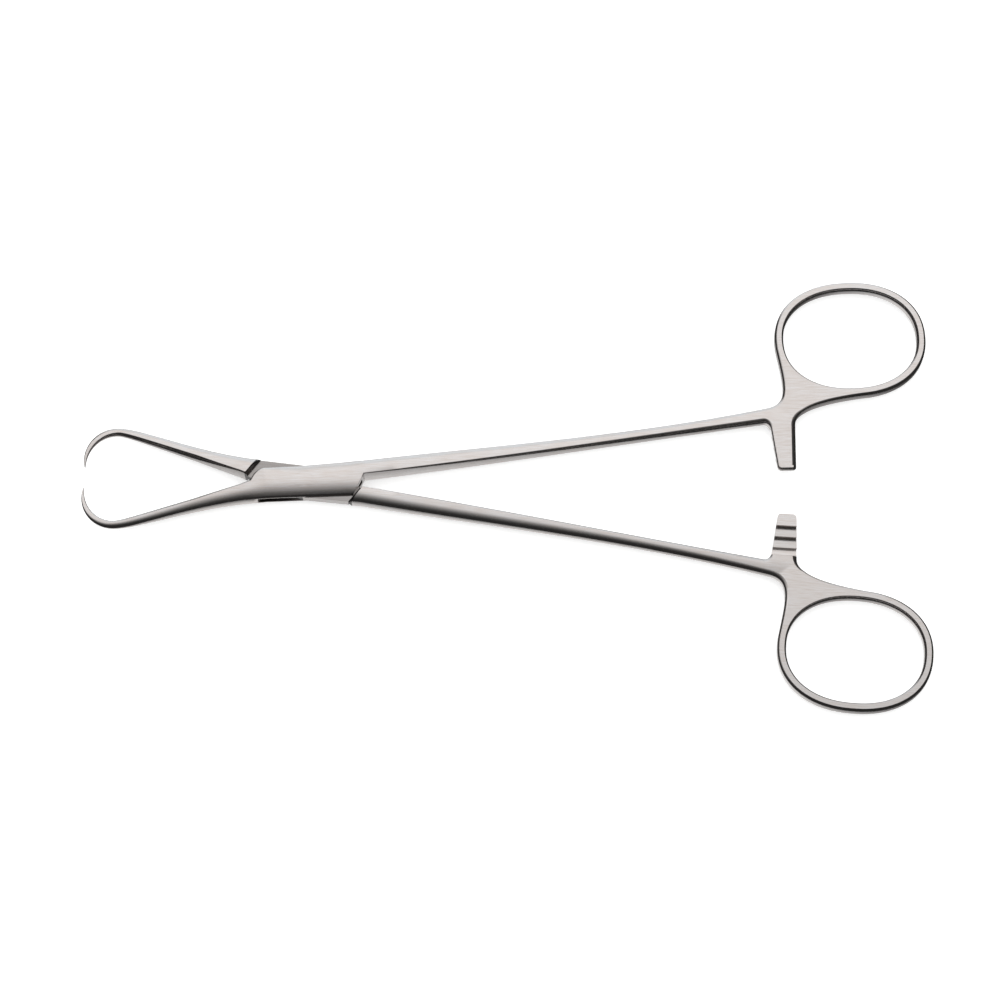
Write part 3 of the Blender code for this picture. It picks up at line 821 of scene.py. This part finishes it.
def paintedShadeMask(tree, level):
    # How much painted shade a point of the tongue half gets: the faces inside the lock, where shade
    # falls between the two halves, are darkened, all but the tongue's edge walls behind the pivot.
    # Each step is a result, a Math operation, and the earlier results or numbers that it works on.
    side, margin = tongueSide * mm, detail["hair"] * mm
    flatShare, otherShare = steel["tongueFlatShadeShare"], steel["paintedShadeShare"]
    steps = (
        ("fromMiddle", "SUBTRACT", "Z", middle * mm),
        ("height", "ABSOLUTE", "fromMiddle"),
        ("slant", "MULTIPLY", "Y", 1 / tan(radians(lock["shoulderAngle"]))),
        ("frontSlant", "MAXIMUM", "slant", 0),
        ("backSlant", "MINIMUM", "slant", 0),
        ("fromFront", "SUBTRACT", "X", "frontSlant"),
        ("fromBack", "SUBTRACT", "X", "backSlant"),
        ("pastFront", "GREATER_THAN", "fromFront", -lock["shoulderFront"] * mm),
        ("beforeBack", "LESS_THAN", "fromBack", lock["shoulderBack"] * mm),
        ("between", "MULTIPLY", "pastFront", "beforeBack"),
        ("sunk", "LESS_THAN", "height", steel["paintedShadeTop"] * middle * mm),
        ("within", "MULTIPLY", "between", "sunk"),
        ("flat", "COMPARE", "height", side, margin),
        ("share", "MULTIPLY_ADD", "flat", flatShare - otherShare, otherShare),
        ("shareWithin", "MULTIPLY", "within", "share"),
        ("thin", "LESS_THAN", "height", side - margin),
        ("backHalf", "GREATER_THAN", "X", 0),
        ("beforeGroove", "LESS_THAN", "fromBack", lock["relief"][0] * mm),
        ("outside", "MULTIPLY", "backHalf", "beforeGroove"),
        ("leftUnshaded", "MULTIPLY", "thin", "outside"),
        ("shadedHere", "SUBTRACT", 1, "leftUnshaded"),
        ("mask", "MULTIPLY", "shareWithin", "shadedHere"),
    )
    parts = addNode(tree, "ShaderNodeSeparateXYZ", links={0: level}).outputs
    made = {axis: parts[axis] for axis in "XYZ"}
    for result, operation, *terms in steps:
        settings, links = {"operation": operation}, {}
        for place, term in enumerate(terms):
            if isinstance(term, str):
                links[place] = made[term]
            else:
                settings[place] = term
        made[result] = addNode(tree, "ShaderNodeMath", settings, links).outputs[0]
    return made["mask"]


# A Mix node's colour sockets share their names with its number sockets, so they go by place
colourA, colourB, colourMixed = 6, 7, 2


def satinSteel(name, angle, withPaintedShade=False):
    # Stainless steel finished with a fine belt along its length: bright, slightly warm, with faint
    # lengthwise streaks that also blur its reflections. The belt's own lines are about 0.03 mm
    # apart and don't show at this size, so these are bundles of them.
    material = bpy.data.materials.new(name)
    material.use_nodes = True
    tree = material.node_tree
    shader = tree.nodes["Principled BSDF"]
    shader.inputs["Metallic"].default_value = 1
    place = addNode(tree, "ShaderNodeTexCoord").outputs["Object"]
    across = 1 / (steel["brushWidth"] * mm)
    turn = {"Rotation": (0, 0, radians(-angle))}
    level = addNode(tree, "ShaderNodeMapping", turn, {"Vector": place}).outputs[0]
    stretch = {"Scale": (1 / (steel["brushLength"] * mm), across, across)}
    lengthwise = addNode(tree, "ShaderNodeMapping", stretch, {"Vector": level}).outputs[0]
    brushing = {"Scale": 1, "Detail": steel["brushDetail"], "Roughness": steel["brushFineness"]}
    noise = addNode(tree, "ShaderNodeTexNoise", brushing, {"Vector": lengthwise}).outputs[0]
    spread = {"From Min": steel["brushRange"][0], "From Max": steel["brushRange"][1]}
    streaks = addNode(tree, "ShaderNodeMapRange", spread, {"Value": noise}).outputs[0]
    patchy = {"Scale": 1 / (steel["cloudSize"] * mm), "Detail": steel["cloudDetail"]}
    cloud = addNode(tree, "ShaderNodeTexNoise", patchy, {"Vector": place}).outputs[0]
    share = {"data_type": "FLOAT", "Factor": steel["cloudShare"]}
    mixed = addNode(tree, "ShaderNodeMix", share, {"A": streaks, "B": cloud}).outputs[0]
    tones = {"data_type": "RGBA", colourA: linear(steel["dark"]), colourB: linear(steel["light"])}
    paint = addNode(tree, "ShaderNodeMix", tones, {"Factor": mixed}).outputs[colourMixed]
    # Painted shade: on the tongue half the faces inside the lock are mixed towards a near-black colour,
    # standing in for the shade between the two halves
    if withPaintedShade:
        tones = {"data_type": "RGBA", colourB: linear(steel["paintedShadeColour"])}
        mask = {"Factor": paintedShadeMask(tree, level), colourA: paint}
        paint = addNode(tree, "ShaderNodeMix", tones, mask).outputs[colourMixed]
    tree.links.new(paint, shader.inputs["Base Color"])
    low, high = steel["roughness"]
    rough = addNode(tree, "ShaderNodeMapRange", {"To Min": high, "To Max": low}, {"Value": streaks})
    tree.links.new(rough.outputs[0], shader.inputs["Roughness"])
    relief = {"Strength": 1, "Distance": steel["bumpHeight"] * mm}
    bump = addNode(tree, "ShaderNodeBump", relief, {"Height": streaks})
    tree.links.new(bump.outputs[0], shader.inputs["Normal"])
    return material


bareSteel = bpy.data.materials.new("bareSteel")
halfAngle = opening / 2
boxSteel = satinSteel("satinSteelBoxHalf", halfAngle)
# The tongue half's steel has painted shade on its faces inside the lock
tongueSteel = satinSteel("satinSteelTongueHalf", -halfAngle, withPaintedShade=True)
pinSteel = satinSteel("groundSteelPin", halfAngle)
print("materials made")


def makeBoxHalf():
    half = forging("boxForging", boxOutline(), 1)
    plug = turned("rivetPin", pinProfile(0))
    combine(plug, half, "INTERSECT")
    slot = []
    for height in (-lock["slotHeight"] / 2, lock["slotHeight"] / 2):
        slot.append(lockRegion(lock["slotFront"], lock["slotBack"], lock["endAngle"], 1, height))
    cutters = [
        stack("slotCutter", slot),
        turned("rivetHoleCutter", pinProfile(pin["seatGap"])),
        ratchetPocket("upperPocketCutter", 1, -1),
        toothNotches("upperToothCutter", 1, -1),
    ]
    for cutter in cutters:
        combine(half, cutter)
        bpy.data.objects.remove(cutter)
    return settle(half, halfAngle, boxSteel), settle(plug, halfAngle, pinSteel)


def makeTongueHalf():
    half = forging("tongueForging", tongueOutline(), -1)
    far = middle + detail["overrun"]
    bore = pin["shaft"] + pin["runningGap"]
    cutters = [
        shoulderCutter("upperShoulderCutter", 1),
        shoulderCutter("lowerShoulderCutter", -1),
        reliefCutter("upperReliefCutter", 1),
        reliefCutter("lowerReliefCutter", -1),
        turned("pinBoreCutter", [(bore, -far), (bore, far)]),
        ratchetPocket("lowerPocketCutter", -1, 1),
        toothNotches("lowerToothCutter", -1, 1),
    ]
    for cutter in cutters:
        combine(half, cutter)
        bpy.data.objects.remove(cutter)
    return settle(half, -halfAngle, tongueSteel)


boxForging, rivetPin = makeBoxHalf()
print("box half made:", len(boxForging.data.polygons), "faces")
tongueForging = makeTongueHalf()
print("tongue half made:", len(tongueForging.data.polygons), "faces")

for piece, node, body, slotName in (
    (boxForging, "box_half", "box_body", "satin_steel_box"),
    (rivetPin, "pivot_pin", "box_body", "ground_steel_pin"),
    (tongueForging, "tongue_half", "tongue_body", "satin_steel_tongue"),
):
    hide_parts(node)
    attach(piece, body)

studio = {
    "cameraDistance": 676.8,
    "cameraTilt": 20.0,  # degrees from straight overhead
    "cameraRoll": 1.245,
    "lookAt": (41.44, -3.97),
    "lens": 115.2,
    "floorColour": "#F4F4F3",
    "floorRoughness": 0.9,
    "floorGloss": 0.1,
    "floorSize": 4000,
    "floorLift": 0.55,  # of white, added where the floor is seen
    "worldStrength": 0.75,
    "softboxSize": 900,
    "softboxPower": 4,  # watts
    "softboxPlace": (0, 350, 1100),
    "softboxAim": (40, 0, 0),
}
tent = {
    "radius": 600,
    # Lightness by the share of a direction that points to the front, up, to the back and down
    "front": ((-0.34, 1), (-0.1, 0.58), (0.1, 0.35), (0.34, 0.17), (0.6, 0.07), (0.8, 0.03)),
    "side": ((0.05, 0.02), (0.32, 0.10), (0.62, 1)),
    "behind": ((0.76, 0), (0.92, 1)),
    "below": ((0.8, 0), (0.94, 0.68), (1, 1)),
    "least": 0.025,
    "windowTint": (0.90, 0.96, 1.0),  # of the light that comes from behind
    "segments": (128, 96),
    "whiteFrom": 0.995,  # where the card is white it is left away
}


def makeCamera():
    camera = linked("camera", bpy.data.cameras.new("camera"))
    tilt = radians(studio["cameraTilt"])
    distance = studio["cameraDistance"] * mm
    lookX, lookY = (value * mm for value in studio["lookAt"])
    away = Matrix.Rotation(tilt, 4, "X") @ Matrix.Translation((0, 0, distance))
    roll = Matrix.Rotation(radians(studio["cameraRoll"]), 4, "Z")
    slide = roll @ Matrix.Translation((lookX, lookY, 0))
    camera.matrix_world = Matrix.Translation((0, 0, middle * mm)) @ slide @ away
    camera.data.lens = studio["lens"]
    camera.data.clip_start = 0.01
    bpy.context.scene.camera = camera


def seenDirectly(tree):
    # 1 for rays from the camera, a mirror or glass, which show the white backdrop as it is
    path = addNode(tree, "ShaderNodeLightPath").outputs
    most = {"operation": "MAXIMUM"}
    rays = {0: path["Is Camera Ray"], 1: path["Is Glossy Ray"]}
    either = addNode(tree, "ShaderNodeMath", most, rays).outputs[0]
    rays = {0: either, 1: path["Is Transmission Ray"]}
    return addNode(tree, "ShaderNodeMath", most, rays).outputs[0]


def makeFloor():
    bm = bmesh.new()
    bmesh.ops.create_grid(bm, x_segments=1, y_segments=1, size=studio["floorSize"] / 2 * mm)
    floor = linked("floor", meshFrom(bm, "floor"))
    material = bpy.data.materials.new("palePaper")
    material.use_nodes = True
    tree = material.node_tree
    shader = tree.nodes["Principled BSDF"]
    shader.inputs["Base Color"].default_value = linear(studio["floorColour"])
    shader.inputs["Roughness"].default_value = studio["floorRoughness"]
    shader.inputs["Specular IOR Level"].default_value = studio["floorGloss"]
    shader.inputs["Emission Color"].default_value = (1, 1, 1, 1)
    times = {"operation": "MULTIPLY", 1: studio["floorLift"]}
    lift = addNode(tree, "ShaderNodeMath", times, {0: seenDirectly(tree)})
    tree.links.new(lift.outputs[0], shader.inputs["Emission Strength"])
    floor.data.materials.append(material)
    floor.visible_glossy = False


def ramp(value, stops):
    # Straight lines between (place, height) stops, level past the ends
    if value <= stops[0][0]:
        return stops[0][1]
    for (low, start), (high, end) in zip(stops, stops[1:]):
        if value < high:
            return start + (end - start) * (value - low) / (high - low)
    return stops[-1][1]


def cardLight(direction):
    # How light the card is towards a direction: graded darker from overhead to the front, black
    # around the front and the sides, and lighter again behind and below, as over a light table
    front = ramp(-direction.y, tent["front"])
    side = ramp(direction.z, tent["side"])
    behind = ramp(direction.y, tent["behind"])
    below = ramp(-direction.z, tent["below"])
    light = max(tent["least"], front * (side + (1 - side) * behind))
    light += (1 - light) * below
    return [light * (1 - behind * (1 - channel)) for channel in tent["windowTint"]]


def makeTent():
    # A graduated card around the table that only reflections see. It draws the dark lines along
    # the rounded edges.
    material = bpy.data.materials.new("graduatedCard")
    material.use_nodes = True
    tree = material.node_tree
    tree.nodes.remove(tree.nodes["Principled BSDF"])
    shade = addNode(tree, "ShaderNodeAttribute", {"attribute_name": "shade"})
    glow = addNode(tree, "ShaderNodeEmission", {"Strength": 1}, {"Color": shade.outputs["Color"]})
    tree.links.new(glow.outputs[0], tree.nodes["Material Output"].inputs["Surface"])
    bm = bmesh.new()
    around, upright = tent["segments"]
    bmesh.ops.create_uvsphere(bm, u_segments=around, v_segments=upright, radius=tent["radius"] * mm)
    white = []
    for face in bm.faces:
        if all(min(cardLight(vertex.co.normalized())) > tent["whiteFrom"] for vertex in face.verts):
            white.append(face)
    bmesh.ops.delete(bm, geom=white, context="FACES")
    card = linked("graduatedCard", meshFrom(bm, "graduatedCard"))
    shades = card.data.color_attributes.new("shade", "FLOAT_COLOR", "POINT")
    for vertex, shadeHere in zip(card.data.vertices, shades.data):
        shadeHere.color = (*cardLight(vertex.co.normalized()), 1)
    card.data.materials.append(material)
    card.visible_camera = False
    card.visible_diffuse = False
    card.visible_shadow = False
    card.visible_transmission = False


def makeLights():
    world = bpy.data.worlds.new("studio")
    bpy.context.scene.world = world
    world.use_nodes = True
    tree = world.node_tree
    background = tree.nodes["Background"]
    background.inputs["Color"].default_value = (1, 1, 1, 1)
    limits = {"To Min": studio["worldStrength"], "To Max": 1.0}
    strength = addNode(tree, "ShaderNodeMapRange", limits, {"Value": seenDirectly(tree)})
    tree.links.new(strength.outputs[0], background.inputs["Strength"])
    softbox = linked("softbox", bpy.data.lights.new("softbox", "AREA"))
    softbox.data.shape = "SQUARE"
    softbox.data.size = studio["softboxSize"] * mm
    softbox.data.energy = studio["softboxPower"]
    softbox.location = Vector(studio["softboxPlace"]) * mm
    aim = Vector(studio["softboxAim"]) * mm - softbox.location
    softbox.rotation_euler = aim.to_track_quat("-Z", "Y").to_euler()
    softbox.visible_glossy = False


makeCamera()
makeFloor()
makeTent()
makeLights()
bpy.context.scene.view_settings.view_transform = "Standard"
print("studio made")
